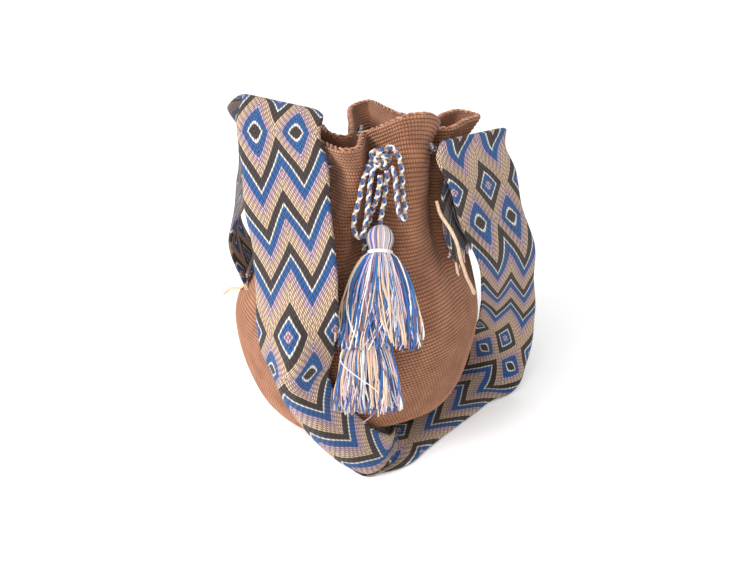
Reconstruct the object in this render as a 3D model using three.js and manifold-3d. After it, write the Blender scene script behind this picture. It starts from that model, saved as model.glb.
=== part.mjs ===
// A crocheted mochila bag with a woven shoulder strap and a tasselled drawstring.
// Millimetres, +Z up, the front of the bag faces -Y.
// The origin is the middle of the bag's flat base, on the surface that the bag stands on.

import * as THREE from 'three';
import { mergeVertices } from 'three/addons/utils/BufferGeometryUtils.js';
import Module from 'manifold-3d';

// Driving dimensions

const GAP = 0.3; // between pieces that touch

const BELLY_RADIUS = 130;
const BELLY_HEIGHT = 108;
const BASE_RADIUS = 60; // the flat part that stands on the surface
const CHINE_RADIUS = 97; // the rounded bottom edge
const CHINE_HEIGHT = 13;
const SHOULDER_RADIUS = 101;
const SHOULDER_HEIGHT = 238;
const NECK_RADIUS = 76;
const NECK_HEIGHT = 294; // the level of the drawstring
const RIM_HEIGHT = 320;
const GATHER_START = 120; // the gathers of the mouth fade out below this height
const NECK_PINCH = 0.86; // the gathered mouth's spread at the drawstring, as a share of the rim's
const BAG_WALL = 4;
const RIM_TURN = -1.62; // the direction of the rim curve's first point on the belly, in radians

const STRAP_WIDTH = 80;
const STRAP_THICKNESS = 4.6;
const STRAP_RELIEF = 0.5;
const ZIGZAG_REPEAT = 50; // along the strap
const ZIGZAG_DEPTH = 22; // from a peak to the mean line of a zigzag
const ZIGZAG_WAVELENGTH = 42; // across the strap
const SEAM_DIAMETER = 4;

const CORD_DIAMETER = 5;
const EYELET_COUNT = 8; // pairs of eyelets that the drawstring goes out and in through
const EYELET_CLEARANCE = 1.3; // round the drawstring
const KNOT_RADIUS = 10;
const TIE_DIAMETER = 3.6;

const TASSEL_HEAD_RADIUS = 12;
const TASSEL_HEAD_LENGTH = 25;
const TASSEL_NECK_RADIUS = 9.5;
const TASSEL_SKIRT_LENGTH = 84;
const BINDING_DIAMETER = 3;
const STRAND_RIDGES = 12;

// The mouth's edge seen from above, with its height above RIM_HEIGHT, counterclockwise from the
// valley beside the knot: front lobe, right lobe, back, rear left lobe, left lobe.
const RIM = [
  [11, -46, 2], [25, -60, 12], [44, -70, 22], [63, -65, 22], [74, -46, 12], [74, -26, 0],
  [87, -30, 1], [104, -12, 3], [119, 7, 2], [119, 28, 0], [103, 38, 1], [86, 27, 0],
  [73, 8, -1], [58, 32, -4], [44, 32, 0], [33, 46, 2], [15, 78, 2], [-2, 66, 0],
  [-6, 32, 0], [-4, -8, -1], [-7, -42, -2], [-20, -34, -1], [-29, -10, 0], [-40, 3, -1],
  [-52, -10, -2], [-46, -38, -2], [-27, -64, -2], [-10, -84, -2], [4, -80, -2],
];

const vector = ([x, y, z]) => new THREE.Vector3(x, y, z);

const smooth = (low, high, value) => THREE.MathUtils.smoothstep(value, low, high);

// Solids from rows of points

function solidFromRows(rows, startMiddle, endMiddle) {
  const around = rows[0].length;
  const points = [startMiddle, ...rows.flat(), endMiddle];
  const last = points.length - 1;
  const index = (row, step) => 1 + row * around + (step % around);
  const faces = [];
  for (let step = 0; step < around; step += 1) {
    faces.push(0, index(0, step + 1), index(0, step));
    faces.push(last, index(rows.length - 1, step), index(rows.length - 1, step + 1));
    for (let row = 0; row + 1 < rows.length; row += 1) {
      const [a, b] = [index(row, step), index(row, step + 1)];
      const [c, d] = [index(row + 1, step + 1), index(row + 1, step)];
      const shorter = points[a].distanceTo(points[c]) <= points[b].distanceTo(points[d]);
      faces.push(...(shorter ? [a, b, c, a, c, d] : [a, b, d, b, c, d]));
    }
  }
  const geometry = new THREE.BufferGeometry();
  geometry.setAttribute('position', new THREE.Float32BufferAttribute(points.flatMap((p) => [p.x, p.y, p.z]), 3));
  geometry.setIndex(faces);
  geometry.computeVertexNormals();
  return geometry;
}

const wasm = await Module();
wasm.setup();

function toManifold(geometry) {
  const bare = geometry.clone();
  bare.deleteAttribute('normal');
  bare.deleteAttribute('uv');
  const merged = mergeVertices(bare);
  const vertProperties = new Float32Array(merged.attributes.position.array);
  const triVerts = new Uint32Array(merged.index.array);
  return new wasm.Manifold(new wasm.Mesh({ numProp: 3, vertProperties, triVerts }));
}

function fromManifold(solid) {
  const mesh = solid.simplify(0.02).getMesh();
  const geometry = new THREE.BufferGeometry();
  geometry.setAttribute('position', new THREE.Float32BufferAttribute(mesh.vertProperties, 3));
  geometry.setIndex(Array.from(mesh.triVerts));
  geometry.computeVertexNormals();
  return geometry;
}

function tube(curve, diameter, steps, sides = 8) {
  const radius = diameter / 2;
  const section = new THREE.Shape();
  for (let side = 0; side < sides; side += 1) {
    const angle = (side / sides) * 2 * Math.PI;
    const corner = [radius * Math.cos(angle), radius * Math.sin(angle)];
    if (side === 0) section.moveTo(...corner);
    else section.lineTo(...corner);
  }
  return new THREE.ExtrudeGeometry(section, { steps, extrudePath: curve });
}

const route = (points) => new THREE.CatmullRomCurve3(points.map(vector), false, 'centripetal');

// The bag's shape

const rimCurve = new THREE.CatmullRomCurve3(RIM.map(vector), true, 'centripetal');
rimCurve.arcLengthDivisions = 600;
const rimMiddle = new THREE.Vector3(30, -5, 0);

const bagProfile = new THREE.SplineCurve([
  [0, 0], [BASE_RADIUS / 2, 0], [BASE_RADIUS, 0], [CHINE_RADIUS, CHINE_HEIGHT],
  [BELLY_RADIUS - 12, 46], [BELLY_RADIUS, BELLY_HEIGHT], [BELLY_RADIUS - 6, 172],
  [SHOULDER_RADIUS, SHOULDER_HEIGHT], [NECK_RADIUS, NECK_HEIGHT], [NECK_RADIUS, RIM_HEIGHT],
].map(([x, y]) => new THREE.Vector2(x, y)));

// The bag stands partly on its strap, which runs under the front right of the base.
const strapSide = new THREE.Vector2(0.659, -0.753);
const strapEdgeDistance = 36;
const underLift = STRAP_THICKNESS + 4 * GAP;
const pleatMiddle = new THREE.Vector2(30, -84);
const pleatSpread = 32;
const pleatLift = 20;

function lift(point) {
  const reach = point.x * strapSide.x + point.y * strapSide.y;
  const away = Math.hypot(point.x - pleatMiddle.x, point.y - pleatMiddle.y) / pleatSpread;
  const raised = underLift * smooth(strapEdgeDistance - 14, strapEdgeDistance - 2, reach);
  return (raised + pleatLift * Math.exp(-away * away)) * (1 - smooth(10, 62, point.z));
}

// turn goes once round in 0 to 1; rise goes from the middle of the base to the rim in 0 to 1.
function bagSurface(turn, rise) {
  const { x: radius, y: profileHeight } = bagProfile.getPoint(rise);
  const height = Math.max(profileHeight, 0);
  const angle = RIM_TURN + turn * 2 * Math.PI;
  const round = new THREE.Vector3(radius * Math.cos(angle), radius * Math.sin(angle), 0);
  const rim = rimCurve.getPointAt(((turn % 1) + 1) % 1);
  const gathered = smooth(GATHER_START, NECK_HEIGHT, height);
  const flare = NECK_PINCH + (1 - NECK_PINCH) * smooth(NECK_HEIGHT, RIM_HEIGHT, height);
  const mouth = rimMiddle.clone().lerp(new THREE.Vector3(rim.x, rim.y, 0), flare);
  const point = round.lerp(mouth, gathered);
  point.z = height + rim.z * smooth(SHOULDER_HEIGHT, RIM_HEIGHT, height);
  point.z += lift(point);
  return point;
}

function bagNormal(turn, rise) {
  const step = 0.002;
  const along = bagSurface(turn + step, rise).sub(bagSurface(turn - step, rise));
  const rising = bagSurface(turn, Math.min(rise + step, 1)).sub(bagSurface(turn, Math.max(rise - step, 0)));
  return along.cross(rising).normalize();
}

const BAG_STEPS_ROUND = 54;
const BAG_ROWS_OUTSIDE = 16;
const BAG_ROWS_INSIDE = 7;

function bagShell() {
  const ring = (rise, inset) => Array.from({ length: BAG_STEPS_ROUND }, (_, step) => {
    const turn = step / BAG_STEPS_ROUND;
    return bagSurface(turn, rise).addScaledVector(bagNormal(turn, rise), -inset);
  });
  const rows = [];
  for (let row = 0; row <= BAG_ROWS_OUTSIDE; row += 1) {
    rows.push(ring(0.12 + 0.88 * (row / BAG_ROWS_OUTSIDE), 0));
  }
  for (let row = 0; row <= BAG_ROWS_INSIDE; row += 1) {
    rows.push(ring(1 - 0.88 * (row / BAG_ROWS_INSIDE), BAG_WALL));
  }
  return solidFromRows(rows, new THREE.Vector3(0, 0, 0), new THREE.Vector3(0, 0, BAG_WALL));
}

// The drawstring goes round the neck, out and in through its eyelets, from the knot to the knot.
const neckRise = 0.9;

function drawstringCurve() {
  const start = 0.985;
  const end = 0.02;
  const count = 6 * EYELET_COUNT;
  const points = [vector([17, -67, 305])];
  for (let step = 0; step <= count; step += 1) {
    const share = step / count;
    const turn = start - (start - end) * share;
    const swing = (BAG_WALL / 2 + CORD_DIAMETER / 2 + 1.2) * Math.cos(share * EYELET_COUNT * 2 * Math.PI);
    points.push(bagSurface(turn, neckRise).addScaledVector(bagNormal(turn, neckRise), swing - BAG_WALL / 2));
  }
  points.push(vector([21, -66, 304]));
  return new THREE.CatmullRomCurve3(points, false, 'centripetal');
}

// A point at an azimuth in degrees and a height, some way outside the bag's round profile.
const profilePoints = bagProfile.getPoints(800).slice(200);

function beside(azimuth, height, away) {
  const nearest = profilePoints.reduce((best, point) => (
    Math.abs(point.y - height) < Math.abs(best.y - height) ? point : best));
  const angle = THREE.MathUtils.degToRad(azimuth);
  return [(nearest.x + away) * Math.cos(angle), (nearest.x + away) * Math.sin(angle), height];
}

// The strap's route from its left end over the bag, down the front, along the floor and back to its
// right end: the middle, the direction across from its outer to its inner edge, and its lengthwise
// fold in degrees.
const ON_FLOOR = STRAP_THICKNESS / 2;
const STRAP_ROUTE = [
  [beside(177, RIM_HEIGHT - 154, -12), [0, -1, 0], 0],
  [beside(177, RIM_HEIGHT - 112, 12), [0.05, -1, 0], 0],
  [beside(178, RIM_HEIGHT - 62, 19), [0.25, -0.97, 0], 0],
  [beside(178, RIM_HEIGHT - 22, 22), [0.45, -0.89, 0], 0],
  [beside(-170, RIM_HEIGHT + 14, 8), [0.85, -0.52, 0], 0],
  [beside(-149, RIM_HEIGHT + 24, -4), [0.9, -0.42, -0.1], 0],
  [beside(-138, RIM_HEIGHT + 10, 10), [0.92, -0.38, -0.05], 0],
  [beside(-131, RIM_HEIGHT - 20, 16), [0.96, -0.27, 0.04], 0],
  [beside(-126, RIM_HEIGHT - 52, 12), [0.96, -0.26, 0.05], 0],
  [beside(-118, RIM_HEIGHT - 88, 10), [0.93, -0.35, 0.07], 0],
  [beside(-113, RIM_HEIGHT - 125, 14), [0.93, -0.35, 0.1], 20],
  [beside(-112, RIM_HEIGHT - 160, 13), [0.98, -0.1, 0], 70],
  [beside(-112, 124, 7), [0.93, -0.37, 0.1], 95],
  [beside(-105, 86, 5), [0.89, -0.28, 0.34], 100],
  [beside(-96, 51, 6), [0.82, -0.23, 0.5], 100],
  [beside(-87, 23, 11), [0.78, -0.1, 0.6], 88],
  [beside(-77, 8, 18), [0.25, 0.85, 0.35], 55],
  [beside(-62, ON_FLOOR, 16), [-0.62, 0.78, 0], 8],
  [beside(-46, ON_FLOOR, 12), [-0.68, 0.73, 0], 0],
  [beside(-25, ON_FLOOR, 19), [-0.67, 0.74, 0], 0],
  [beside(-9, ON_FLOOR, 36), [-0.66, 0.75, 0], 0],
  [beside(2, 4, 53), [-0.63, 0.77, 0.03], 0],
  [beside(3, 22, 48), [-0.72, 0.5, 0.4], 0],
  [beside(2, 56, 45), [-0.82, 0.05, 0.56], 0],
  [beside(4, 95, 43), [-0.87, -0.35, 0.2], 0],
  [beside(-1, 144, 35), [-0.84, -0.54, 0.05], 0],
  [beside(-7, RIM_HEIGHT - 133, 36), [-0.84, -0.54, 0], 0],
  [beside(-14, RIM_HEIGHT - 82, 34), [-0.85, -0.52, 0], 0],
  [beside(-20, RIM_HEIGHT - 40, 43), [-0.86, -0.51, 0], 0],
  [beside(-22, RIM_HEIGHT - 17, 39), [-0.86, -0.51, 0], 0],
  [beside(-18, RIM_HEIGHT - 5, 38), [-0.84, -0.54, 0], 0],
  [beside(-9, RIM_HEIGHT - 20, 38), [-0.75, -0.66, 0], 0],
  [beside(-12, RIM_HEIGHT - 50, 19), [-0.6, -0.8, 0], 0],
  [beside(-15, RIM_HEIGHT - 82, 0), [-0.42, -0.9, 0], 0],
  [beside(-17, RIM_HEIGHT - 114, -2), [-0.37, -0.93, 0], 0],
];

// The strap

const strapMiddle = new THREE.CatmullRomCurve3(STRAP_ROUTE.map(([p]) => vector(p)), false, 'centripetal');
strapMiddle.arcLengthDivisions = 1000;
const strapLength = strapMiddle.getLength();

// The distances along the strap of its two humps and of its turn at the floor.
const strapBends = [5, 15.5, 30].map((station) => {
  const lengths = strapMiddle.getLengths();
  return lengths[Math.round((station / (STRAP_ROUTE.length - 1)) * (lengths.length - 1))];
});

function strapFrame(distance) {
  const share = THREE.MathUtils.clamp(distance / strapLength, 0, 1);
  const t = strapMiddle.getUtoTmapping(share);
  const station = Math.min(t * (STRAP_ROUTE.length - 1), STRAP_ROUTE.length - 1.0001);
  const index = Math.floor(station);
  const blend = smooth(0, 1, station - index);
  const fold = THREE.MathUtils.lerp(STRAP_ROUTE[index][2], STRAP_ROUTE[index + 1][2], blend);
  const across = vector(STRAP_ROUTE[index][1]).lerp(vector(STRAP_ROUTE[index + 1][1]), blend);
  const tangent = strapMiddle.getTangent(t);
  return {
    middle: strapMiddle.getPoint(t),
    across: across.normalize(),
    out: tangent.clone().cross(across).normalize(),
    fold: THREE.MathUtils.degToRad(fold),
  };
}

// A point of the strap: distance along it, offset across it from the middle, and height over its
// middle surface. A folded strap bends round its middle line, and lies flat where it meets the floor.
const foldSoftness = 9;
const floorSoftness = 3;

function strapPoint(distance, offset, height) {
  const { middle, across, out, fold } = strapFrame(distance);
  const half = fold / 2;
  const bend = Math.min(Math.abs(offset) / foldSoftness, 1);
  const inBend = Math.min(Math.abs(offset), foldSoftness);
  const beyond = Math.abs(offset) - inBend;
  const slope = half * bend;
  const width = inBend * Math.cos(slope / 2) + beyond * Math.cos(half);
  const drop = inBend * Math.sin(slope / 2) + beyond * Math.sin(half);
  const sign = Math.sign(offset);
  const ridge = (STRAP_WIDTH / 2 - foldSoftness) * Math.sin(half) + foldSoftness * Math.sin(half / 2);
  const point = middle.clone().addScaledVector(across, sign * width).addScaledVector(out, ridge - drop);
  const normal = across.clone().multiplyScalar(sign * Math.sin(slope)).addScaledVector(out, Math.cos(slope));
  const sunk = Math.max(ON_FLOOR - point.z, 0);
  point.z += sunk;
  normal.z += (Math.sign(normal.z) * sunk) / floorSoftness;
  return point.addScaledVector(normal.normalize(), height);
}

const zigzag = (offset) => {
  const phase = (offset + STRAP_WIDTH / 2) / ZIGZAG_WAVELENGTH;
  const saw = Math.abs(2 * (phase - Math.floor(phase + 0.5)));
  return ZIGZAG_DEPTH * (2 * saw - 1);
};

// The zigzags flatten out where the strap bends sharply, in 0 to 1.
function straightness(distance) {
  const nearest = strapBends.reduce((least, bend) => Math.min(least, Math.abs(distance - bend)), strapLength);
  return 0.15 + 0.85 * smooth(15, 95, nearest);
}

function strapSolid() {
  const bands = Math.round(strapLength / ZIGZAG_REPEAT);
  const rowsPerBand = 4;
  const offsets = [-1, -0.74, -0.475, 0.05, 0.3, 0.575, 1].map((share) => (share * STRAP_WIDTH) / 2);
  const rows = [];
  for (let row = 0; row <= bands * rowsPerBand; row += 1) {
    const distance = (row / (bands * rowsPerBand)) * strapLength;
    const fromEnd = Math.min(distance, strapLength - distance);
    const shape = smooth(0, 2 * ZIGZAG_DEPTH, fromEnd) * straightness(distance);
    const raised = row % 2 === 0 ? STRAP_RELIEF : 0;
    const half = STRAP_THICKNESS / 2;
    const front = offsets.map((offset) => strapPoint(distance + shape * zigzag(offset), offset, half - raised));
    const back = offsets.map((offset) => strapPoint(distance + shape * zigzag(offset), offset, -half)).reverse();
    rows.push([...front, ...back].reverse());
  }
  const endMiddle = (ring) => ring.reduce((sum, p) => sum.add(p), new THREE.Vector3()).divideScalar(ring.length);
  return solidFromRows(rows, endMiddle(rows[0]), endMiddle(rows[rows.length - 1]));
}

// A bar of stitches sews each end of the strap to the side of the bag.
function seamCurve(end) {
  const inward = 6;
  const distance = end === 'left' ? inward : strapLength - inward;
  const points = [];
  for (let share = -0.9; share < 0.95; share += 0.3) {
    points.push(strapPoint(distance, (share * STRAP_WIDTH) / 2, (STRAP_THICKNESS + SEAM_DIAMETER) / 2 + GAP));
  }
  return new THREE.CatmullRomCurve3(points);
}

// The knot is a flattened rosette of cord.
const KNOT_MIDDLE = [22, -72, NECK_HEIGHT + 13];

function knotGeometry(radius) {
  const petals = 5;
  const petalDepth = 0.12;
  const flatness = 0.7;
  const geometry = new THREE.SphereGeometry(1, 15, 9);
  const position = geometry.attributes.position;
  const point = new THREE.Vector3();
  for (let index = 0; index < position.count; index += 1) {
    point.fromBufferAttribute(position, index);
    const petal = 1 + petalDepth * Math.hypot(point.x, point.z) * Math.cos(petals * Math.atan2(point.z, point.x));
    position.setXYZ(index, point.x * radius * petal, point.y * radius * flatness, point.z * radius * petal);
  }
  return geometry.translate(...KNOT_MIDDLE);
}

const knotSpace = toManifold(knotGeometry(KNOT_RADIUS + GAP));

const cord = (points, diameter = CORD_DIAMETER, spacing = 11) => {
  const curve = route(points);
  return tube(curve, diameter, Math.round(curve.getLength() / spacing));
};

const fromKnot = (geometry) => fromManifold(toManifold(geometry).subtract(knotSpace));

// The free cords: two bow loops, and two tails that end in the tassels' heads.
const loopLeftRoute = [
  [17, -72, 306], [12, -74, 298], [7, -76, 287], [4, -78, 272], [0, -80, 258], [-1, -82, 249],
  [1, -84, 242], [4.5, -85, 240], [7.5, -84, 245], [10, -82, 256], [12, -79, 272], [13.5, -78, 286], [15.8, -76.5, 297],
  [19, -73, 306],
];
const loopRightRoute = [
  [24, -73, 310], [29, -73, 317], [35, -72, 314], [39, -71, 305], [41, -72, 291], [42, -75, 276],
  [44, -79, 263], [43, -83, 256.5], [39.5, -84, 259], [37, -81, 269], [35.5, -78, 283], [34, -76, 296], [28, -75, 305],
];
const tailUpperRoute = [[22, -72, 306], [28, -74, 296], [27, -76, 284], [26, -76, 272], [24, -76, 260], [22.4, -76.4, 249.4]];
const tailLowerRoute = [
  [22, -72, 306], [22, -80.5, 294], [21, -81, 283], [18, -75, 269], [15, -68, 257], [12, -68, 245],
  [9, -73, 230], [8, -81, 218], [8, -91, 208], [8.5, -104, 201], [9, -116.3, 195.3],
];

// A tassel is one bundle of strands, tied under its head. Its skirt is flat at the back, where it lies
// on the bag, and its edge is uneven.
const TASSEL_ROWS = [0.05, 0.3, 0.7, 1];
const SKIRT_ROWS = [0.12, 0.35, 0.65, 1];

function tasselGeometry({ head, down, headRadius, halfWidth, front, back, skirtLength }) {
  const axis = vector(down).normalize();
  const side = new THREE.Vector3(1, 0, 0).addScaledVector(axis, -axis.x).normalize();
  const outward = side.clone().cross(axis).normalize();
  const top = vector(head).addScaledVector(axis, -TASSEL_HEAD_LENGTH / 2);
  const around = 2 * STRAND_RIDGES;
  const ring = (distance, wide, ahead, behind, ridge) => Array.from({ length: around }, (_, step) => {
    const angle = -(step / around) * 2 * Math.PI;
    const grow = 1 + (step % 2 ? ridge : -ridge);
    const depth = Math.sin(angle) > 0 ? ahead : behind;
    const uneven = ridge * skirtLength * 0.5 * Math.sin(3.7 * step);
    return top.clone()
      .addScaledVector(axis, distance + (distance > TASSEL_HEAD_LENGTH * 2 ? uneven : 0))
      .addScaledVector(side, wide * grow * Math.cos(angle))
      .addScaledVector(outward, depth * grow * Math.sin(angle));
  });
  const headRows = TASSEL_ROWS.map((share) => {
    const bulge = Math.sqrt(1 - (2 * share - 1) ** 2);
    const radius = Math.max(headRadius * bulge, share > 0.5 ? TASSEL_NECK_RADIUS * (headRadius / TASSEL_HEAD_RADIUS) : 4);
    return ring(share * TASSEL_HEAD_LENGTH, radius, radius, radius, 0.015);
  });
  const neck = TASSEL_NECK_RADIUS * (headRadius / TASSEL_HEAD_RADIUS);
  const skirtRows = SKIRT_ROWS.map((share) => {
    const spread = Math.sin((share * Math.PI) / 2) ** 0.9;
    const between = (wide) => THREE.MathUtils.lerp(neck, wide, spread);
    return ring(TASSEL_HEAD_LENGTH + share * skirtLength, between(halfWidth), between(front), between(back), 0.05);
  });
  const bottom = top.clone().addScaledVector(axis, TASSEL_HEAD_LENGTH + skirtLength).addScaledVector(outward, (front - back) / 2);
  return solidFromRows([...headRows, ...skirtRows], top, bottom);
}

function bindingGeometry({ head, down, headRadius }, diameter = BINDING_DIAMETER) {
  const neck = TASSEL_NECK_RADIUS * (headRadius / TASSEL_HEAD_RADIUS);
  const ring = new THREE.TorusGeometry(neck * 1.015 + BINDING_DIAMETER / 2 + GAP, diameter / 2, 6, 18);
  ring.applyQuaternion(new THREE.Quaternion().setFromUnitVectors(new THREE.Vector3(0, 0, 1), vector(down).normalize()));
  const place = vector(head).addScaledVector(vector(down).normalize(), TASSEL_HEAD_LENGTH * 0.5);
  return ring.translate(place.x, place.y, place.z);
}

const UPPER_TASSEL = {
  head: [22, -84, 238], down: [-2, -62, -77], headRadius: TASSEL_HEAD_RADIUS,
  halfWidth: 36, front: 15, back: 4, skirtLength: TASSEL_SKIRT_LENGTH,
};
const LOWER_TASSEL = {
  head: [9, -121.7, 182], down: [1, -32, -90], headRadius: 10,
  halfWidth: 24, front: 11, back: 4, skirtLength: TASSEL_SKIRT_LENGTH,
};

// The upper tassel's strands lie over the lower one's head and cord.
const withGap = (shape) => ({
  ...shape, headRadius: shape.headRadius + 3, halfWidth: shape.halfWidth + 2 * GAP, front: shape.front + 2 * GAP,
  back: shape.back + 2 * GAP,
});
const lowerTasselSpace = toManifold(tasselGeometry(withGap(LOWER_TASSEL)))
  .add(toManifold(bindingGeometry(LOWER_TASSEL, BINDING_DIAMETER + 4 * GAP)))
  .add(toManifold(cord(tailLowerRoute, CORD_DIAMETER + 2 * GAP)));

// The yarn ends of the strap hang from its seams as thin twisted ties.
const tieLeftRoute = [[-113.5, -22, 164.6], [-117, -21, 157], [-124, -16, 151], [-133, -11, 148], [-138, -7, 143], [-143, -3, 138]];
const tieRightRoute = [
  [73.8, -56.5, 262], [77, -61, 252], [86, -71, 240], [92, -77, 228], [95, -79, 216], [99, -79, 205],
  [103, -78, 194], [108, -76, 184], [112, -74, 175],
];

const material = (color, roughness) => new THREE.MeshStandardMaterial({ color, roughness, metalness: 0 });
const brownCotton = material(0x9b6c54, 0.9);
const wovenCotton = material(0x8a7e90, 0.9);
const tanCotton = material(0xc8a57d, 0.9);
const braidedCotton = material(0xa9a4b4, 0.9);
const strandCotton = material(0x7f8fb4, 0.85);
const whiteCotton = material(0xebe6dc, 0.85);

const drawstring = tube(drawstringCurve(), CORD_DIAMETER, 7 * EYELET_COUNT);
const eyelets = toManifold(tube(drawstringCurve(), CORD_DIAMETER + 2 * EYELET_CLEARANCE, 7 * EYELET_COUNT, 6));

const bag = new THREE.Group();

function add(name, geometry, look) {
  const mesh = new THREE.Mesh(geometry, look);
  mesh.name = name;
  bag.add(mesh);
}

add('bag_body', fromManifold(toManifold(bagShell()).subtract(eyelets)), brownCotton);
add('shoulder_strap', strapSolid(), wovenCotton);
add('strap_seam_left', tube(seamCurve('left'), SEAM_DIAMETER, 6), tanCotton);
add('strap_seam_right', tube(seamCurve('right'), SEAM_DIAMETER, 6), tanCotton);
add('drawstring', fromKnot(drawstring), braidedCotton);
add('drawstring_knot', knotGeometry(KNOT_RADIUS), braidedCotton);
add('bow_loop_left', fromKnot(cord(loopLeftRoute)), braidedCotton);
add('bow_loop_right', fromKnot(cord(loopRightRoute)), braidedCotton);
add('tail_upper', fromKnot(cord(tailUpperRoute)), braidedCotton);
add('tail_lower', fromKnot(cord(tailLowerRoute)), braidedCotton);
add('tassel_upper', fromManifold(toManifold(tasselGeometry(UPPER_TASSEL)).subtract(lowerTasselSpace)), strandCotton);
add('tassel_upper_binding', bindingGeometry(UPPER_TASSEL), whiteCotton);
add('tassel_lower', tasselGeometry(LOWER_TASSEL), strandCotton);
add('tassel_lower_binding', bindingGeometry(LOWER_TASSEL), whiteCotton);
add('tie_left', cord(tieLeftRoute, TIE_DIAMETER, 9), tanCotton);
add('tie_right', cord(tieRightRoute, TIE_DIAMETER, 9), tanCotton);

export default bag;
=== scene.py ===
import math

import bpy
import numpy as np
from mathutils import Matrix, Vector


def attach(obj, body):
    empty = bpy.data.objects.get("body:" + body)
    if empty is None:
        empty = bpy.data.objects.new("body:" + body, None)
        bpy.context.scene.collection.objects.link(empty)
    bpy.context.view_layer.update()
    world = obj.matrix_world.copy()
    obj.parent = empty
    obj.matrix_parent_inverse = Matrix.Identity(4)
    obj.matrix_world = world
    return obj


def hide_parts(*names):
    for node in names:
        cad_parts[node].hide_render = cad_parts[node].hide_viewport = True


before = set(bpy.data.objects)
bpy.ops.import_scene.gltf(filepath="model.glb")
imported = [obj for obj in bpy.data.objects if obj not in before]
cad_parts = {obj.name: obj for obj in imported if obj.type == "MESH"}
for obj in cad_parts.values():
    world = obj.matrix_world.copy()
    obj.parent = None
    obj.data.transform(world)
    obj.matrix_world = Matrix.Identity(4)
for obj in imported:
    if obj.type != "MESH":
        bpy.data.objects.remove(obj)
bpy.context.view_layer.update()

MM = 0.001
FULL_TURN = 2 * math.pi
rng = np.random.default_rng(7)

# Shape of the bag, in millimetres

GAP = 0.3
BELLY_RADIUS = 130
BELLY_HEIGHT = 108
UNDER_BELLY = [BELLY_RADIUS - 12, 46]
OVER_BELLY = [BELLY_RADIUS - 6, 172]
BASE_RADIUS = 60
CHINE_RADIUS = 97
CHINE_HEIGHT = 13
SHOULDER_RADIUS = 101
SHOULDER_HEIGHT = 238
NECK_RADIUS = 76
NECK_HEIGHT = 294
RIM_HEIGHT = 320
GATHER_START = 120
NECK_PINCH = 0.86
BAG_WALL = 4
RIM_TURN = -1.62

# The mouth's edge seen from above, with its height above RIM_HEIGHT
RIM = [
    [11, -46, 2], [25, -60, 12], [44, -70, 22], [63, -65, 22], [74, -46, 12], [74, -26, 0],
    [87, -30, 1], [104, -12, 3], [119, 7, 2], [119, 28, 0], [103, 38, 1], [86, 27, 0],
    [73, 8, -1], [58, 32, -4], [44, 32, 0], [33, 46, 2], [15, 78, 2], [-2, 66, 0],
    [-6, 32, 0], [-4, -8, -1], [-7, -42, -2], [-20, -34, -1], [-29, -10, 0], [-40, 3, -1],
    [-52, -10, -2], [-46, -38, -2], [-27, -64, -2], [-10, -84, -2], [4, -80, -2],
]

# Strap, cords and tassels, in millimetres
STRAP_WIDTH = 80
STRAP_THICKNESS = 4.6
STRAP_FOLD_SOFTNESS = 9
STRAP_FLOOR_SOFTNESS = 3
SEAM_DIAMETER = 4
CORD_DIAMETER = 5
TIE_DIAMETER = 3.6
EYELET_COUNT = 8
KNOT_MIDDLE = [22, -72, NECK_HEIGHT + 13]
KNOT_RADIUS = 10
TASSEL_HEAD_LENGTH = 25
TASSEL_HEAD_RADIUS = 12
TASSEL_NECK_RADIUS = 9.5
LOWER_HEAD_RADIUS = 10
UPPER_SKIRT_LENGTH = 84
LOWER_SKIRT_LENGTH = 77
BINDING_DIAMETER = 3

# Crochet and weave: sizes in millimetres, and counts
CROCHET_ROW = 3.3
STITCHES_ROUND = 240
WEAVE_STEP = 4
WEAVE_COLUMNS = 32
STITCH_ROW = 3.56
STITCH_WIDTH = 2.2

# The strap's pattern: two rows of diamonds, then three zigzags, over and over
ZIGZAG_COUNT = 3
ZIGZAG_REPEAT = 13 * STITCH_ROW
ZIGZAG_RISE = 9.5 * STITCH_ROW
ZIGZAG_WAVELENGTH = 39
ZIGZAG_START = 10.5 * STITCH_ROW
PEAK_OFFSET = 0.5
PATTERN_REPEAT = ZIGZAG_START + ZIGZAG_COUNT * ZIGZAG_REPEAT + ZIGZAG_RISE
PATTERN_WANDER = 2
FLECK_ROWS = 1
DARK_ROUNDNESS = 0.25
TAN_ROUNDNESS = 0.75

# The pattern starts on each leg and runs down it. The right leg is pulled longer in its upper half
LEFT_START = 212
LEFT_TIGHTNESS = 1.04
RIGHT_START = 1062
TURN_DISTANCE = 590
PULLED_REACH = 135
PULLED_MIDDLE = RIGHT_START - PULLED_REACH
PULLED_LONGER = 35

# Rows run askew on both legs, as a slope at the middle of the askew stretch
ASKEW_REACH = 160
LEFT_ASKEW = 0.2
LEFT_ASKEW_MIDDLE = 320
RIGHT_ASKEW = -0.2


def linear(red, green, blue):
    """A colour given as 0 to 255 values, in linear light."""
    shares = (value / 255 for value in (red, green, blue))
    return tuple(
        share / 12.92 if share <= 0.04045 else ((share + 0.055) / 1.055) ** 2.4
        for share in shares
    )


BROWN = linear(158, 104, 75)
BROWN_LIGHT = linear(184, 127, 93)
# Painted shade for the gaps between the crochet stitches
BROWN_GAP_SHADE = linear(64, 38, 30)
DARK = linear(62, 53, 50)
WHITE = linear(236, 233, 224)
BLUE = linear(34, 100, 168)
MAUVE = linear(204, 172, 188)
TAN = linear(226, 192, 162)
# Painted shade for the strap's underside
UNDERSIDE_PAINTED_SHADE = linear(58, 46, 50)
YARN_SHADE = linear(96, 84, 88)
# Near black for the gaps in the strap's weave: the dark warp there, deepened as painted shade
STITCH_GAP_SHADE = (0.03, 0.02, 0.02)
PALEST = (1, 1, 1)

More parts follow.
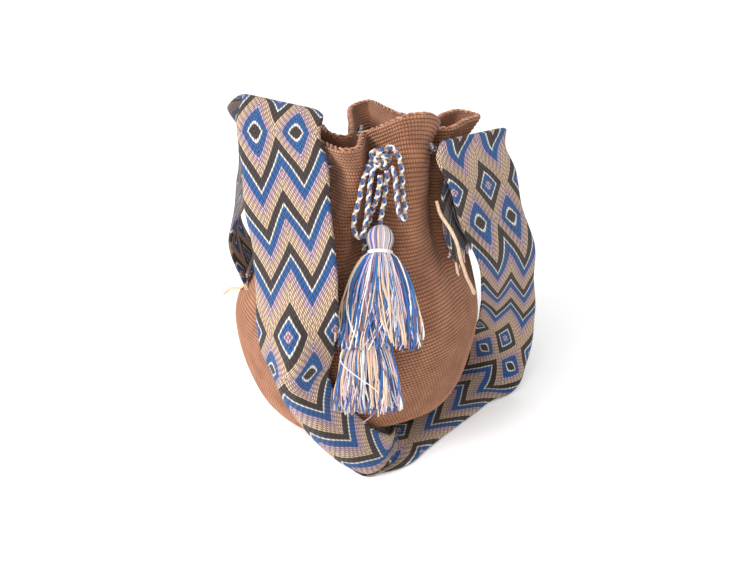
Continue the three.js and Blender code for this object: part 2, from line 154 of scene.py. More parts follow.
# Bands of the zigzags and rings of the diamonds, as the limit in rows of stitches and the yarn
BANDS = [(3, DARK), (4, WHITE), (7, BLUE), (10, MAUVE), (13, TAN)]
DARK_DIAMOND = [(1.5, MAUVE), (3.5, BLUE), (4.5, WHITE), (7.5, DARK), (9.5, TAN)]
TAN_DIAMOND = [(1.5, DARK), (2.5, WHITE), (5.5, BLUE), (8.5, MAUVE), (10.5, TAN)]
WHITE_BAND_MIDDLE = 3.5 * STITCH_ROW


def smooth(low, high, value):
    """A smooth step from 0 at the low value to 1 at the high one."""
    share = np.clip((value - low) / (high - low), 0, 1)
    return share * share * (3 - 2 * share)


def unit(vectors):
    return vectors / np.maximum(np.linalg.norm(vectors, axis=-1, keepdims=True), 1e-12)


def cubic(first, last, start, end, weight):
    """A point on the way between two points, from the slopes at its start and its end."""
    square = -3 * first + 3 * last - 2 * start - end
    cube = 2 * first - 2 * last + start + end
    return first + start * weight + square * weight**2 + cube * weight**3


class Curve:
    """A centripetal Catmull-Rom curve through points, open or closed."""

    def __init__(self, points, closed=False, divisions=1000):
        points = np.array(points, dtype=float)
        self.spans = len(points) - (0 if closed else 1)
        before = points[-1] if closed else 2 * points[0] - points[1]
        after = points[:2] if closed else 2 * points[-1] - points[-2]
        self.points = np.vstack([before, points, after])
        self.stations = np.linspace(0, 1, divisions + 1)
        steps = np.diff(self.at(self.stations), axis=0)
        self.lengths = np.concatenate([[0], np.cumsum(np.linalg.norm(steps, axis=1))])
        self.length = self.lengths[-1]

    def at(self, t):
        """Points at the curve's own parameter, which counts its spans evenly from 0 to 1."""
        place = np.asarray(t, dtype=float) * self.spans
        index = np.clip(np.floor(place).astype(int), 0, self.spans - 1)
        weight = (place - index)[..., None]
        p0, p1, p2, p3 = (self.points[index + shift] for shift in range(4))
        dt0, dt1, dt2 = (
            np.sqrt(np.linalg.norm(last - first, axis=-1, keepdims=True))
            for first, last in ((p0, p1), (p1, p2), (p2, p3))
        )
        start = ((p1 - p0) / dt0 - (p2 - p0) / (dt0 + dt1) + (p2 - p1) / dt1) * dt1
        end = ((p2 - p1) / dt1 - (p3 - p1) / (dt1 + dt2) + (p3 - p2) / dt2) * dt1
        return cubic(p1, p2, start, end, weight)

    def station(self, share):
        """The curve's own parameter at a share of its length."""
        return np.interp(np.asarray(share) * self.length, self.lengths, self.stations)

    def along(self, share):
        return self.at(self.station(share))

    def tangent(self, t):
        step = 0.0001
        return unit(self.at(np.clip(t + step, 0, 1)) - self.at(np.clip(t - step, 0, 1)))


# The bag's surface

rim_curve = Curve(RIM, closed=True, divisions=600)
RIM_MIDDLE = np.array([30, -5])
PROFILE = np.array([
    [0, 0], [BASE_RADIUS / 2, 0], [BASE_RADIUS, 0], [CHINE_RADIUS, CHINE_HEIGHT],
    UNDER_BELLY, [BELLY_RADIUS, BELLY_HEIGHT], OVER_BELLY,
    [SHOULDER_RADIUS, SHOULDER_HEIGHT], [NECK_RADIUS, NECK_HEIGHT], [NECK_RADIUS, RIM_HEIGHT],
], dtype=float)


def bag_profile(rise):
    """Radius and height of the bag's round profile, from the middle of the base to the rim."""
    last = len(PROFILE) - 1
    place = np.asarray(rise, dtype=float) * last
    index = np.clip(np.floor(place).astype(int), 0, last)
    weight = (place - index)[..., None]
    p0 = PROFILE[np.maximum(index - 1, 0)]
    p1 = PROFILE[index]
    p2 = PROFILE[np.minimum(index + 1, last)]
    p3 = PROFILE[np.minimum(index + 2, last)]
    point = cubic(p1, p2, (p2 - p0) / 2, (p3 - p1) / 2, weight)
    return point[..., 0], np.maximum(point[..., 1], 0)


# The bag stands partly on its strap, which runs under the front right of the base
STRAP_SIDE = np.array([0.659, -0.753])
STRAP_EDGE_DISTANCE = 36
LIFT_STARTS = STRAP_EDGE_DISTANCE - 14
LIFT_IS_FULL = STRAP_EDGE_DISTANCE - 2
LIFT_FADE = (10, 62)
UNDER_LIFT = STRAP_THICKNESS + 4 * GAP
PLEAT_MIDDLE = np.array([30, -84])
PLEAT_SPREAD = 32
PLEAT_LIFT = 20


def lift(point):
    """How far the base is raised, by the strap under it and by a pleat at its front."""
    reach = point[..., :2] @ STRAP_SIDE
    away = np.linalg.norm(point[..., :2] - PLEAT_MIDDLE, axis=-1) / PLEAT_SPREAD
    raised = UNDER_LIFT * smooth(LIFT_STARTS, LIFT_IS_FULL, reach)
    return (raised + PLEAT_LIFT * np.exp(-away * away)) * (1 - smooth(*LIFT_FADE, point[..., 2]))


def bag_surface(turn, rise):
    """A point of the bag's outside, at a share of a turn round it and a share of the way up."""
    turn, rise = np.broadcast_arrays(turn, rise)
    radius, height = bag_profile(rise)
    angle = RIM_TURN + turn * FULL_TURN
    round_point = np.stack([radius * np.cos(angle), radius * np.sin(angle)], axis=-1)
    rim = rim_curve.along(turn % 1)
    gathered = smooth(GATHER_START, NECK_HEIGHT, height)[..., None]
    flare = (NECK_PINCH + (1 - NECK_PINCH) * smooth(NECK_HEIGHT, RIM_HEIGHT, height))[..., None]
    mouth = RIM_MIDDLE + (rim[..., :2] - RIM_MIDDLE) * flare
    flat = round_point + (mouth - round_point) * gathered
    tall = height + rim[..., 2] * smooth(SHOULDER_HEIGHT, RIM_HEIGHT, height)
    point = np.concatenate([flat, tall[..., None]], axis=-1)
    point[..., 2] += lift(point)
    return point


def bag_normal(turn, rise):
    """The direction straight out of the bag's outside."""
    step = 0.002
    along = bag_surface(turn + step, rise) - bag_surface(turn - step, rise)
    rising = bag_surface(turn, np.minimum(rise + step, 1)) - bag_surface(turn, np.maximum(rise - step, 0))
    return unit(np.cross(along, rising))


# The strap's surface

OUTSIDE_BASE = 0.25
PROFILE_POINTS = 601
profile_line = np.stack(bag_profile(np.linspace(OUTSIDE_BASE, 1, PROFILE_POINTS)), axis=-1)


def beside(azimuth, height, away):
    """A point some way outside the bag's round profile, at an azimuth in degrees."""
    nearest = profile_line[np.argmin(np.abs(profile_line[:, 1] - height))]
    angle = math.radians(azimuth)
    return [(nearest[0] + away) * math.cos(angle), (nearest[0] + away) * math.sin(angle), height]


ON_FLOOR = STRAP_THICKNESS / 2

# The strap's middle line, point by point: azimuth round the bag, height, way outside the bag,
# direction across the strap and its fold in degrees
STRAP_ROUTE = [
    (177, RIM_HEIGHT - 154, -12, [0, -1, 0], 0),
    (177, RIM_HEIGHT - 112, 12, [0.05, -1, 0], 0),
    (178, RIM_HEIGHT - 62, 19, [0.25, -0.97, 0], 0),
    (178, RIM_HEIGHT - 22, 22, [0.45, -0.89, 0], 0),
    (-170, RIM_HEIGHT + 14, 8, [0.85, -0.52, 0], 0),
    (-149, RIM_HEIGHT + 24, -4, [0.9, -0.42, -0.1], 0),
    (-138, RIM_HEIGHT + 10, 10, [0.92, -0.38, -0.05], 0),
    (-131, RIM_HEIGHT - 20, 16, [0.96, -0.27, 0.04], 0),
    (-126, RIM_HEIGHT - 52, 12, [0.96, -0.26, 0.05], 0),
    (-118, RIM_HEIGHT - 88, 10, [0.93, -0.35, 0.07], 0),
    (-113, RIM_HEIGHT - 125, 14, [0.93, -0.35, 0.1], 20),
    (-112, RIM_HEIGHT - 160, 13, [0.98, -0.1, 0], 70),
    (-112, 124, 7, [0.93, -0.37, 0.1], 95),
    (-105, 86, 5, [0.89, -0.28, 0.34], 100),
    (-96, 51, 6, [0.82, -0.23, 0.5], 100),
    (-87, 23, 11, [0.78, -0.1, 0.6], 88),
    (-77, 8, 18, [0.25, 0.85, 0.35], 55),
    (-62, ON_FLOOR, 16, [-0.62, 0.78, 0], 8),
    (-46, ON_FLOOR, 12, [-0.68, 0.73, 0], 0),
    (-25, ON_FLOOR, 19, [-0.67, 0.74, 0], 0),
    (-9, ON_FLOOR, 36, [-0.66, 0.75, 0], 0),
    (2, 4, 53, [-0.63, 0.77, 0.03], 0),
    (3, 22, 48, [-0.72, 0.5, 0.4], 0),
    (2, 56, 45, [-0.82, 0.05, 0.56], 0),
    (4, 95, 43, [-0.87, -0.35, 0.2], 0),
    (-1, 144, 35, [-0.84, -0.54, 0.05], 0),
    (-7, RIM_HEIGHT - 133, 36, [-0.84, -0.54, 0], 0),
    (-14, RIM_HEIGHT - 82, 34, [-0.85, -0.52, 0], 0),
    (-20, RIM_HEIGHT - 40, 43, [-0.86, -0.51, 0], 0),
    (-22, RIM_HEIGHT - 17, 39, [-0.86, -0.51, 0], 0),
    (-18, RIM_HEIGHT - 5, 38, [-0.84, -0.54, 0], 0),
    (-9, RIM_HEIGHT - 20, 38, [-0.75, -0.66, 0], 0),
    (-12, RIM_HEIGHT - 50, 19, [-0.6, -0.8, 0], 0),
    (-15, RIM_HEIGHT - 82, 0, [-0.42, -0.9, 0], 0),
    (-17, RIM_HEIGHT - 114, -2, [-0.37, -0.93, 0], 0),
]

azimuths, heights, ways_out, across_route, folds = zip(*STRAP_ROUTE)
strap_middle = Curve([beside(*place) for place in zip(azimuths, heights, ways_out)])
STRAP_LENGTH = strap_middle.length
STRAP_ACROSS = np.array(across_route, dtype=float)
STRAP_FOLD = np.radians(folds)
END_MARGIN = 0.0001


def strap_point(distance, offset, height):
    """A point of the strap: distance along it, offset across it and height over its middle surface.

    A folded strap bends round its middle line, and lies flat where it meets the floor."""
    distance, offset, height = np.broadcast_arrays(distance, offset, height)
    t = strap_middle.station(np.clip(distance / STRAP_LENGTH, 0, 1))
    last = len(STRAP_ROUTE) - 1
    station = np.minimum(t * last, last - END_MARGIN)
    index = np.floor(station).astype(int)
    blend = smooth(0, 1, station - index)[..., None]
    half = (STRAP_FOLD[index] + (STRAP_FOLD[index + 1] - STRAP_FOLD[index]) * blend[..., 0]) / 2
    across = unit(STRAP_ACROSS[index] + (STRAP_ACROSS[index + 1] - STRAP_ACROSS[index]) * blend)
    out = unit(np.cross(strap_middle.tangent(t), across))
    far = np.abs(offset)
    in_bend = np.minimum(far, STRAP_FOLD_SOFTNESS)
    beyond = far - in_bend
    slope = half * np.minimum(far / STRAP_FOLD_SOFTNESS, 1)
    width = in_bend * np.cos(slope / 2) + beyond * np.cos(half)
    drop = in_bend * np.sin(slope / 2) + beyond * np.sin(half)
    ridge = (STRAP_WIDTH / 2 - STRAP_FOLD_SOFTNESS) * np.sin(half) + STRAP_FOLD_SOFTNESS * np.sin(half / 2)
    sign = np.sign(offset)
    point = strap_middle.at(t) + across * (sign * width)[..., None] + out * (ridge - drop)[..., None]
    normal = across * (sign * np.sin(slope))[..., None] + out * np.cos(slope)[..., None]
    sunk = np.maximum(ON_FLOOR - point[..., 2], 0)
    point[..., 2] += sunk
    normal[..., 2] += np.sign(normal[..., 2]) * sunk / STRAP_FLOOR_SOFTNESS
    return point + unit(normal) * height[..., None]


# Meshes


def in_metres(points):
    return (np.asarray(points) * MM).tolist()


def add_object(name, data):
    obj = bpy.data.objects.new(name, data)
    bpy.context.collection.objects.link(obj)
    return obj


def mesh_object(name, points, faces, uv=None, colours=None):
    """A smooth mesh from points in millimetres, with places in its weave or a yarn colour at each point."""
    mesh = bpy.data.meshes.new(name)
    mesh.from_pydata(in_metres(points), [], [tuple(face) for face in faces])
    mesh.update()
    if uv is not None:
        layer = mesh.uv_layers.new(name="Stitches")
        layer.data.foreach_set("uv", np.asarray(uv, dtype=np.float32).ravel())
    if colours is not None:
        layer = mesh.color_attributes.new(name="Yarn", type="FLOAT_COLOR", domain="POINT")
        alpha = np.ones((len(colours), 1))
        layer.data.foreach_set("color", np.hstack([colours, alpha]).astype(np.float32).ravel())
    mesh.polygons.foreach_set("use_smooth", [True] * len(mesh.polygons))
    obj = add_object(name, mesh)
    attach(obj, "root")
    return obj


# A face's corners, as steps to the next row and the next column
CORNERS = [(0, 0), (0, 1), (1, 1), (1, 0)]


def tube_faces(rows, columns):
    """Quads over rows of points that close round, then the two end faces, as lists of indices."""
    row, column = np.meshgrid(np.arange(rows - 1), np.arange(columns), indexing="ij")
    corners = [(row + up) * columns + (column + right) % columns for up, right in CORNERS]
    quads = np.stack(corners, axis=-1).reshape(-1, 4).tolist()
    first = list(range(columns))
    last = [(rows - 1) * columns + index for index in range(columns)]
    return [*quads, first[::-1], last]


def tube_parts(path, radius, sides, start):
    """Points of a closed tube along a path, and its faces as indices counted from the start."""
    path = np.asarray(path, dtype=float)
    count = len(path)
    tangent = unit(np.gradient(path, axis=0))
    reference = np.eye(3)[np.argmin(np.abs(tangent.mean(axis=0)))]
    side = unit(np.cross(tangent, reference))
    for index in range(1, count):
        carried = side[index - 1] - tangent[index] * (side[index - 1] @ tangent[index])
        side[index] = carried / max(np.linalg.norm(carried), 1e-9)
    other = np.cross(tangent, side)
    angles = (np.arange(sides) / sides * FULL_TURN)[None, :, None]
    ring = side[:, None] * np.cos(angles) + other[:, None] * np.sin(angles)
    points = (path[:, None] + ring * radius).reshape(-1, 3)
    faces = [[start + index for index in face] for face in tube_faces(count, sides)]
    return points, faces


def strands_object(name, strands, sides=5):
    """One mesh from many strands, each a path, a radius and a colour."""
    points, faces, colours = [], [], []
    total = 0
    for path, radius, colour in strands:
        part, part_faces = tube_parts(path, radius, sides, total)
        points.append(part)
        faces.extend(part_faces)
        colours.append(np.tile(colour, (len(part), 1)))
        total += len(part)
    return mesh_object(name, np.vstack(points), faces, colours=np.vstack(colours))


# Materials: bumps in metres, noise as ripples to a metre, and ranges from and to which values are brought

CROCHET_BUMP = 0.0014
CROCHET_FIBRES = 1800
CROCHET_FUZZ = 0.25
CROCHET_PATCHES = 55
PATCH_RANGE = (0.3, 0.7)
CROCHET_LIT = (0.05, 0.8)
CROCHET_YARN_POWER = 0.4
CROCHET_ROW_POWER = 0.5
CROCHET_LEAN = 0.7
CROCHET_ROW_SHIFT = 0.37
WEAVE_BUMP = 0.0012
WEAVE_FIBRES = 2200
WEAVE_FUZZ = 0.3
WEAVE_SHADE = (0.1, 0.85, 0.84, 0.0)
WEAVE_ROW_POWER = 0.9
WEAVE_YARN_POWER = 0.7
WANDER_SCALE = 60
MOTTLE_SCALE = 420
MOTTLE = (0.35, 0.7, 0.0, 0.12)
# How much of the pattern shows through the underside's painted shade
PATTERN_IN_UNDERSIDE_SHADE = 0.28
FLOATS_SHOW = 0.7
YARN_BUMP = 0.0004
YARN_BUMP_STRENGTH = 0.6
YARN_FIBRES = 1500
YARN_SHADING = (0.35, 0.65, 0.0, 0.22)
COARSE = 2.0
FINE = 3.0
CLOTH_GLOSS = 0.15
SHEEN_ROUGHNESS = 0.5


class Nodes:
    """Short calls for building one material's node tree."""

    def __init__(self, name):
        self.material = bpy.data.materials.new(name)
        self.material.use_nodes = True
        self.tree = self.material.node_tree
        self.shader = self.tree.nodes["Principled BSDF"]

    def add(self, kind, **settings):
        node = self.tree.nodes.new(kind)
        for key, value in settings.items():
            setattr(node, key, value)
        return node

    def feed(self, socket, value):
        if isinstance(value, bpy.types.NodeSocket):
            self.tree.links.new(value, socket)
        else:
            socket.default_value = value

    def calc(self, operation, *values):
        node = self.add("ShaderNodeMath", operation=operation)
        for socket, value in zip(node.inputs, values):
            self.feed(socket, value)
        return node.outputs[0]

    def choose(self, share, first, second):
        """The first value where the share is 0 and the second where it is 1."""
        return self.calc("MULTIPLY_ADD", self.calc("SUBTRACT", second, first), share, first)

    def far_from(self, value, place):
        return self.calc("ABSOLUTE", self.calc("SUBTRACT", value, place))

    def arch(self, share, power):
        """A round rise and fall in each whole step, flatter on top for a lower power."""
        wave = self.calc("SINE", self.calc("MULTIPLY", share, math.pi))
        return self.calc("POWER", self.calc("ABSOLUTE", wave), power)

    def lean(self, across):
        """A triangle wave across the strap, from 0 at a peak's column to 1 at a valley's."""
        half = ZIGZAG_WAVELENGTH / 2
        inward = self.calc("PINGPONG", self.calc("ADD", across, PEAK_OFFSET), half)
        return self.calc("DIVIDE", inward, half)

    def bulge(self, lean, away, roundness):
        """The lean near a diamond's middle, where the rows of stitches bend round it."""
        nearness = self.calc("SUBTRACT", self.calc("SUBTRACT", 1.0, away), lean)
        power = self.calc("MULTIPLY_ADD", self.calc("MAXIMUM", nearness, 0.0), roundness, 1.0)
        return self.calc("POWER", lean, power)

    def rings(self, value, rings, flecks):
        """Yarn colours by distance: each ring is its outer limit in rows and its colour.

        Flecks are added to the distance where mauve gives way to tan, stitch by stitch."""
        colour = rings[-1][1]
        for limit, shade in reversed(rings[:-1]):
            reached = self.calc("ADD", value, flecks) if shade is MAUVE else value
            colour = self.mix(self.calc("LESS_THAN", reached, limit * STITCH_ROW), colour, shade)
        return colour

    def uv(self):
        """The places across and along, as the piece's mesh holds them."""
        split = self.add("ShaderNodeSeparateXYZ")
        self.feed(split.inputs[0], self.add("ShaderNodeUVMap", uv_map="Stitches").outputs[0])
        return split.outputs[0], split.outputs[1]

    def noise(self, scale, detail):
        node = self.add("ShaderNodeTexNoise")
        node.inputs["Scale"].default_value = scale
        node.inputs["Detail"].default_value = detail
        self.feed(node.inputs["Vector"], self.add("ShaderNodeTexCoord").outputs["Object"])
        return node.outputs["Fac"]

    def ramp(self, value, low, high, to_low=0.0, to_high=1.0):
        node = self.add("ShaderNodeMapRange")
        for socket, entry in zip(node.inputs, (value, low, high, to_low, to_high)):
            self.feed(socket, entry)
        return node.outputs[0]

    def mix(self, share, first, second, blend="MIX"):
        """The first colour where the share is 0 and the second where it is 1."""
        node = self.add("ShaderNodeMix", data_type="RGBA", blend_type=blend)
        self.feed(node.inputs[0], share)
        for socket, colour in ((node.inputs[6], first), (node.inputs[7], second)):
            self.feed(socket, colour if isinstance(colour, bpy.types.NodeSocket) else (*colour, 1))
        return node.outputs[2]

    def bump(self, height, distance, strength=1.0):
        node = self.add("ShaderNodeBump")
        node.inputs["Distance"].default_value = distance
        node.inputs["Strength"].default_value = strength
        self.feed(node.inputs["Height"], height)
        return node.outputs[0]

    def finish(self, colour, normal, roughness=0.95, sheen=0.15):
        self.feed(self.shader.inputs["Base Color"], colour)
        self.feed(self.shader.inputs["Normal"], normal)
        self.feed(self.shader.inputs["Roughness"], roughness)
        self.shader.inputs["Specular IOR Level"].default_value = CLOTH_GLOSS
        self.shader.inputs["Sheen Weight"].default_value = sheen
        self.shader.inputs["Sheen Roughness"].default_value = SHEEN_ROUGHNESS
        return self.material


def crochet_material():
    """Rows of leaning stitches with deep gaps between them, the gaps painted in shade."""
    nodes = Nodes("brown_crochet")
    calc = nodes.calc
    across, rows = nodes.uv()
    row_share = calc("FRACT", rows)
    # A stitch leans one way in its lower half and the other way in its upper half
    lean = nodes.far_from(row_share, 0.5)
    shift = calc("FRACT", calc("MULTIPLY", calc("FLOOR", rows), CROCHET_ROW_SHIFT))
    leaning = calc("MULTIPLY_ADD", lean, CROCHET_LEAN, calc("ADD", across, shift))
    yarn_round = nodes.arch(leaning, CROCHET_YARN_POWER)
    stitch = calc("MULTIPLY", yarn_round, nodes.arch(row_share, CROCHET_ROW_POWER))
    height = calc("MULTIPLY_ADD", nodes.noise(CROCHET_FIBRES, COARSE), CROCHET_FUZZ, stitch)
    patches = nodes.ramp(nodes.noise(CROCHET_PATCHES, FINE), *PATCH_RANGE)
    lit = nodes.mix(patches, BROWN, BROWN_LIGHT)
    # Painted shade: the low places between the stitches turn deep brown
    colour = nodes.mix(nodes.ramp(stitch, *CROCHET_LIT), BROWN_GAP_SHADE, lit)
    return nodes.finish(colour, nodes.bump(height, CROCHET_BUMP))


def woven_material():
    """Slanted stitches along the zigzags; two rows of diamonds stand between groups of zigzags."""
    nodes = Nodes("woven_strap")
    calc = nodes.calc
    across, along = nodes.uv()
    wander = calc("SUBTRACT", nodes.noise(WANDER_SCALE, COARSE), 0.5)
    place = calc("MULTIPLY_ADD", wander, PATTERN_WANDER, along)
    cycle = calc("WRAP", place, PATTERN_REPEAT / 2, -PATTERN_REPEAT / 2)
    # The lean bends round the dark diamonds' middles, and then round the tan ones' middles
    cycle_share = calc("DIVIDE", cycle, ZIGZAG_RISE)
    lean = nodes.bulge(nodes.lean(across), nodes.far_from(cycle_share, 0.0), DARK_ROUNDNESS)
    fall = nodes.bulge(calc("SUBTRACT", 1.0, lean), nodes.far_from(cycle_share, 1.0), TAN_ROUNDNESS)
    lean = calc("SUBTRACT", 1.0, fall)
    rise = calc("MULTIPLY", lean, ZIGZAG_RISE)
    # Stitches slant the other way between the middles of two rows of diamonds
    past_dark = calc("GREATER_THAN", cycle, 0.0)
    past_tan = calc("GREATER_THAN", cycle, ZIGZAG_RISE)
    flipped = calc("SUBTRACT", past_dark, past_tan)
    falling = calc("SUBTRACT", cycle, rise)
    downward = calc("WRAP", falling, PATTERN_REPEAT - ZIGZAG_RISE, -ZIGZAG_RISE)
    slanted = nodes.choose(flipped, downward, calc("ADD", cycle, rise))
    row_place = calc("ADD", calc("DIVIDE", slanted, STITCH_ROW), 0.5)
    row = calc("FLOOR", row_place)
    level = calc("MULTIPLY", row, STITCH_ROW)
    # Where mauve gives way to tan, every other column of stitches does so earlier
    column_place = calc("MULTIPLY_ADD", row, 0.5, calc("DIVIDE", across, STITCH_WIDTH))
    odd_column = calc("GREATER_THAN", calc("FRACT", calc("DIVIDE", column_place, 2.0)), 0.5)
    flecks = calc("MULTIPLY", odd_column, FLECK_ROWS * STITCH_ROW)
    # Zigzags everywhere, then the diamonds over them
    band = calc("WRAP", calc("SUBTRACT", level, ZIGZAG_START), ZIGZAG_REPEAT, 0.0)
    colour = nodes.rings(band, BANDS, flecks)
    from_tan = nodes.choose(flipped, level, calc("SUBTRACT", 2 * ZIGZAG_RISE, level))
    in_tan = calc("MAXIMUM", flipped, calc("LESS_THAN", level, ZIGZAG_START))
    colour = nodes.mix(in_tan, colour, nodes.rings(from_tan, TAN_DIAMOND, flecks))
    from_dark = calc("ABSOLUTE", level)
    near_dark = calc("LESS_THAN", from_dark, ZIGZAG_RISE)
    in_dark = calc("MULTIPLY", calc("SUBTRACT", 1.0, past_tan), near_dark)
    colour = nodes.mix(in_dark, colour, nodes.rings(from_dark, DARK_DIAMOND, 0.0))
    # The underside is painted shade, a dark copy of the pattern, with floats where the white zigzags run
    underside = calc("LESS_THAN", across, 0.0)
    floats = calc("LESS_THAN", nodes.far_from(band, WHITE_BAND_MIDDLE), STITCH_ROW / 2)
    back = nodes.mix(PATTERN_IN_UNDERSIDE_SHADE, UNDERSIDE_PAINTED_SHADE, colour)
    back = nodes.mix(calc("MULTIPLY", floats, FLOATS_SHOW), back, WHITE)
    colour = nodes.mix(underside, colour, back)
    # Each stitch is a slanting oval along its row, half a stitch on from the row before
    row_round = nodes.arch(calc("FRACT", row_place), WEAVE_ROW_POWER)
    yarn_round = nodes.arch(calc("FRACT", column_place), WEAVE_YARN_POWER)
    stitch = calc("MULTIPLY", row_round, yarn_round)
    height = calc("MULTIPLY_ADD", nodes.noise(WEAVE_FIBRES, COARSE), WEAVE_FUZZ, stitch)
    # The gaps between stitches go near black: the dark warp showing there, deepened with painted shade
    shaded = nodes.mix(nodes.ramp(stitch, *WEAVE_SHADE), colour, STITCH_GAP_SHADE)
    mottling = nodes.ramp(nodes.noise(MOTTLE_SCALE, FINE), *MOTTLE)
    mottled = nodes.mix(mottling, shaded, PALEST, "OVERLAY")
    return nodes.finish(mottled, nodes.bump(height, WEAVE_BUMP))


def yarn_material(name):
    """Loose or braided yarn in the colours that its mesh holds."""
    nodes = Nodes(name)
    yarn_colour = nodes.add("ShaderNodeVertexColor", layer_name="Yarn").outputs[0]
    fibres = nodes.noise(YARN_FIBRES, FINE)
    toned = nodes.mix(nodes.ramp(fibres, *YARN_SHADING), yarn_colour, YARN_SHADE)
    return nodes.finish(toned, nodes.bump(fibres, YARN_BUMP, YARN_BUMP_STRENGTH), roughness=0.9, sheen=0.3)


crochet = crochet_material()
woven = woven_material()
braid_yarn = yarn_material("braided_cord")
tassel_yarn = yarn_material("tassel_strands")
twisted_yarn = yarn_material("tan_yarn")
white_yarn = yarn_material("white_yarn")
brown_yarn = yarn_material("brown_yarn")


def dress(obj, material, slot, *nodes):
    """Gives a piece its material and hides the solids that it stands for; its slot is not used."""
    obj.data.materials.append(material)
    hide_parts(*nodes)
    return obj


# The bag

BAG_STEPS = 300
ROWS_SAMPLED = 2
INNER_ROWS = 46
FIRST_RISE = 0.004
RISES_MEASURED = 1200
ROW_RELIEF = 0.35
BEAD_HEIGHT = 0.9
BEAD_STARTS = 2.2
BEAD_IS_FULL = 0.8
RIPPLES_ROUND = 9
RIPPLE_HEIGHT = 0.36
RIPPLE_SWAY = 2
ROWS_TO_SWAY = 9
OVER_FLOOR = 0.05


def crochet_rows():
    """Rises from the base to the rim, two to each row of crochet, and the row that each one is on."""
    rises = np.linspace(FIRST_RISE, 1, RISES_MEASURED)
    radius, height = bag_profile(rises)
    steps = np.hypot(np.diff(radius), np.diff(height))
    length = np.concatenate([[0], np.cumsum(steps)])
    rows = round(length[-1] / CROCHET_ROW)
    marks = np.linspace(0, 1, rows * ROWS_SAMPLED + 1)
    return np.interp(marks * length[-1], length, rises), marks * rows


def make_bag():
    """The outside with its rows of crochet as relief and a bead at the rim, and the plain inside."""
    turns = np.arange(BAG_STEPS) / BAG_STEPS
    rises, rows = crochet_rows()
    outer_turn, outer_rise = np.meshgrid(turns, rises)
    relief = ROW_RELIEF * np.cos(FULL_TURN * (rows - 0.5))[:, None]
    bead = BEAD_HEIGHT * smooth(rows[-1] - BEAD_STARTS, rows[-1] - BEAD_IS_FULL, rows)[:, None]
    sway = RIPPLE_SWAY * np.sin(rows / ROWS_TO_SWAY)[:, None]
    ripple = RIPPLE_HEIGHT * np.sin(turns * FULL_TURN * RIPPLES_ROUND + sway)
    outside = bag_surface(outer_turn, outer_rise)
    outside += bag_normal(outer_turn, outer_rise) * (relief + bead + ripple)[..., None]
    inner_rise = np.linspace(1, FIRST_RISE, INNER_ROWS)
    inner_turn, inner_rises = np.meshgrid(turns, inner_rise)
    inside = bag_surface(inner_turn, inner_rises)
    inside -= bag_normal(inner_turn, inner_rises) * BAG_WALL
    outside[..., 2] = np.maximum(outside[..., 2], OVER_FLOOR)
    points = np.vstack([outside.reshape(-1, 3), inside.reshape(-1, 3)])
    total = len(rises) + INNER_ROWS
    all_rows = np.concatenate([rows, rows[-1] * inner_rise])
    row, column = np.meshgrid(np.arange(total - 1), np.arange(BAG_STEPS), indexing="ij")
    u = np.stack([(column + right) / BAG_STEPS * STITCHES_ROUND for _, right in CORNERS], axis=-1)
    v = np.stack([all_rows[row + up] for up, _ in CORNERS], axis=-1)
    uv = np.stack([u, v], axis=-1).reshape(-1, 2)
    caps = np.zeros((2 * BAG_STEPS, 2))
    return mesh_object("bag", points, tube_faces(total, BAG_STEPS), uv=np.vstack([uv, caps]))


bag = dress(make_bag(), crochet, "brown_crochet", "bag_body")

RIM_CHAIN_DIAMETER = 3.8
RIM_STEPS = 400
RIM_LOOPS = 110
LOOP_REACH = 2.3
LOOP_POINTS = 9
LOOP_SWING = 0.45 * RIM_CHAIN_DIAMETER
LOOP_ARCH = 0.32 * RIM_CHAIN_DIAMETER
LOOP_SINK = 0.6
LOOP_RADIUS = 1.0


def rim_chain():
    """The chain of slanting loops along the mouth's edge, each third one lighter."""
    turns = np.arange(RIM_STEPS) / RIM_STEPS
    outward = bag_normal(turns, 1.0)
    edge = bag_surface(turns, 1.0) - outward * BAG_WALL / 2
    tangent = unit(np.roll(edge, -1, axis=0) - np.roll(edge, 1, axis=0))
    upward = np.cross(outward, tangent)
    upward *= np.sign(upward[:, 2:])
    steps = np.linspace(-LOOP_REACH, LOOP_REACH, LOOP_POINTS)
    bend = (steps / LOOP_REACH * math.pi / 2)[:, None]
    strands = []
    for index in range(RIM_LOOPS):
        place = np.floor(index * RIM_STEPS / RIM_LOOPS + steps).astype(int) % RIM_STEPS
        swing = np.sin(bend) * LOOP_SWING * outward[place]
        arch = (np.cos(bend) * LOOP_ARCH - LOOP_SINK) * upward[place]
        strands.append((edge[place] + swing + arch, LOOP_RADIUS, BROWN if index % 3 else BROWN_LIGHT))
    return strands


dress(strands_object("rim_chain", rim_chain(), sides=6), brown_yarn, "brown_crochet", "bag_body")

# The strap

EDGE_SQUARENESS = 10


def swell(distance, middle, reach):
    """A smooth rise from 0 to 1 at the middle and back to 0, within a reach to each side."""
    share = np.clip((distance - middle) / reach, -1, 1)
    return np.cos(share * math.pi / 2) ** 2


def pattern_place(distance, offset, past_turn):
    """The pattern's place, in millimetres, at distances along the strap and offsets across it."""
    slope = LEFT_ASKEW * swell(distance, LEFT_ASKEW_MIDDLE, ASKEW_REACH)
    slope = slope + RIGHT_ASKEW * swell(distance, PULLED_MIDDLE, ASKEW_REACH)
    askew = distance + offset * slope
    left = (askew - LEFT_START) * LEFT_TIGHTNESS
    right = RIGHT_START - askew - PULLED_LONGER * swell(askew, PULLED_MIDDLE, PULLED_REACH)
    return np.where(past_turn, right, left)


